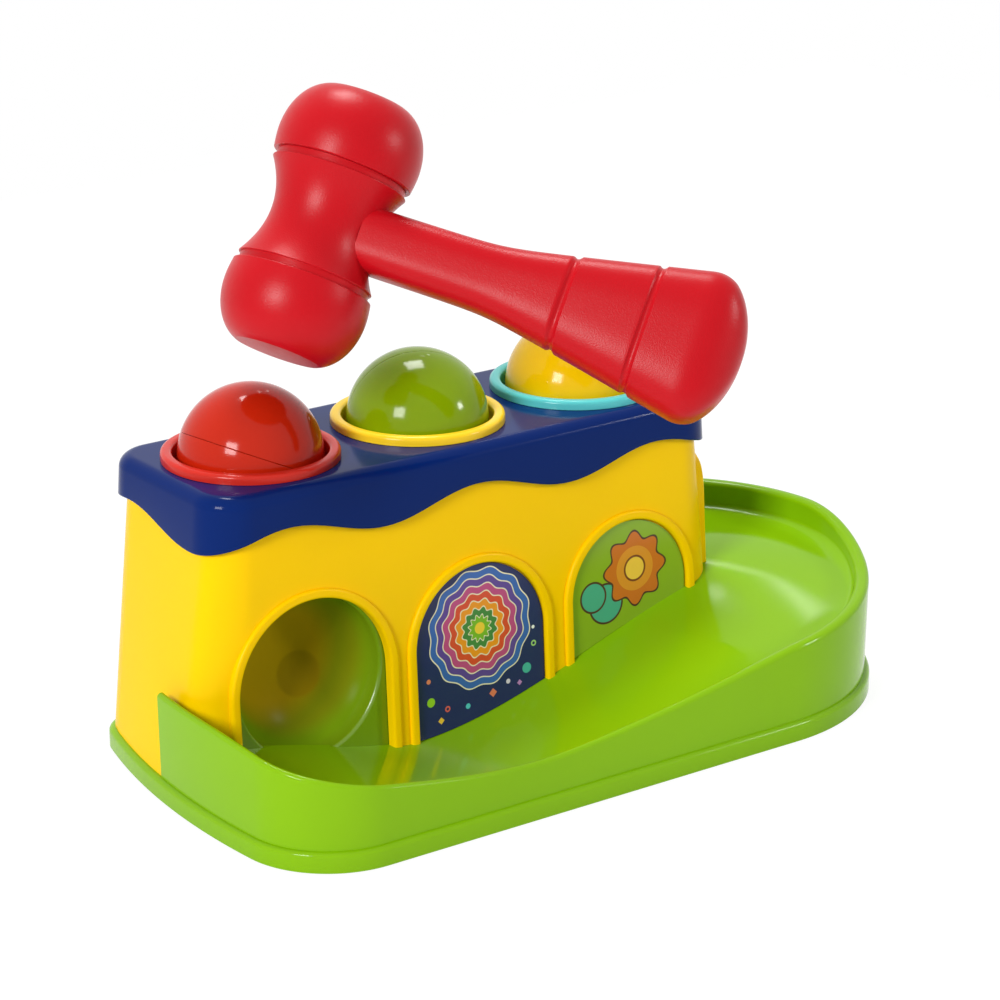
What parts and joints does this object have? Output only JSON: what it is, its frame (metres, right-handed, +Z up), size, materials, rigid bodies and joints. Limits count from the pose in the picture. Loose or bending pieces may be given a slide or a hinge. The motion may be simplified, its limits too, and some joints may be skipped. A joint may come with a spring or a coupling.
{
  "type": "pounding toy",
  "caption": "Pounding toy: a yellow house with a blue roof, bright balls in coloured rings, a green ball track with a bowl around it, and a red hammer.",
  "frame": {"origin": "on the flat rest face under the base, below the middle ball's hole", "axes": "+X along the house to the round bowl, +Y to the plain back wall, +Z up; the arches face -Y"},
  "size_m": [0.2538, 0.1494, 0.2097],
  "materials": {
    "leaf_green": "glossy injection-moulded plastic",
    "house_yellow": "glossy injection-moulded plastic",
    "roof_blue": "glossy injection-moulded plastic",
    "ring_red": "glossy injection-moulded plastic",
    "ring_yellow": "glossy injection-moulded plastic",
    "ring_turquoise": "glossy injection-moulded plastic",
    "ball_red": "glossy moulded half shells",
    "ball_green": "glossy moulded half shells",
    "ball_yellow": "glossy moulded half shells",
    "grip_soft": "soft lip ring",
    "picture_navy": "printed film with a glossy coat",
    "picture_green": "printed film with a glossy coat",
    "chute_yellow": "satin moulded plastic",
    "screw_steel": "zinc plated",
    "hammer_red": "satin blow-moulded plastic"
  },
  "bodies": {
    "house": {"base_tray": "leaf_green", "base_plate": "leaf_green", "ball_pocket": "leaf_green", "house_shell": "house_yellow", "roof_lid": "roof_blue", "ring_left": "ring_red", "ring_middle": "ring_yellow", "ring_right": "ring_turquoise", "grip_left": "grip_soft", "grip_middle": "grip_soft", "grip_right": "grip_soft", "sticker_middle": "picture_navy", "sticker_right": "picture_green", "ball_chute": "chute_yellow", "house_screw_1": "screw_steel", "house_screw_2": "screw_steel", "house_screw_3": "screw_steel", "house_screw_4": "screw_steel", "tray_screw_1": "screw_steel", "tray_screw_2": "screw_steel", "tray_screw_3": "screw_steel"},
    "ball_left": {"ball_left_upper": "ball_red", "ball_left_lower": "ball_red"},
    "ball_middle": {"ball_middle_upper": "ball_green", "ball_middle_lower": "ball_green"},
    "ball_right": {"ball_right_upper": "ball_yellow", "ball_right_lower": "ball_yellow"},
    "hammer": {"hammer_barrel": "hammer_red", "hammer_cap_top": "hammer_red", "hammer_cap_bottom": "hammer_red", "hammer_handle": "hammer_red"}
  },
  "joints": [
    {"name": "left_ball_slide", "type": "slide", "parent": "house", "child": "ball_left", "axis": [0, 0, 1], "range_m": [-0.029, 0], "deforming": ["grip_left"]},
    {"name": "middle_ball_slide", "type": "slide", "parent": "house", "child": "ball_middle", "axis": [0, 0, 1], "range_m": [-0.0315, 0.018], "deforming": ["grip_middle"]},
    {"name": "right_ball_slide", "type": "slide", "parent": "house", "child": "ball_right", "axis": [0, 0, 1], "range_m": [-0.034, 0.018], "deforming": ["grip_right"]},
    {"name": "hammer_swing", "type": "hinge", "parent": "house", "child": "hammer", "pos_m": [0.02848, -0.09317, 0.13958], "axis": [0.594, 0.66, -0.4601], "range_deg": [-5, 45]}
  ]
}
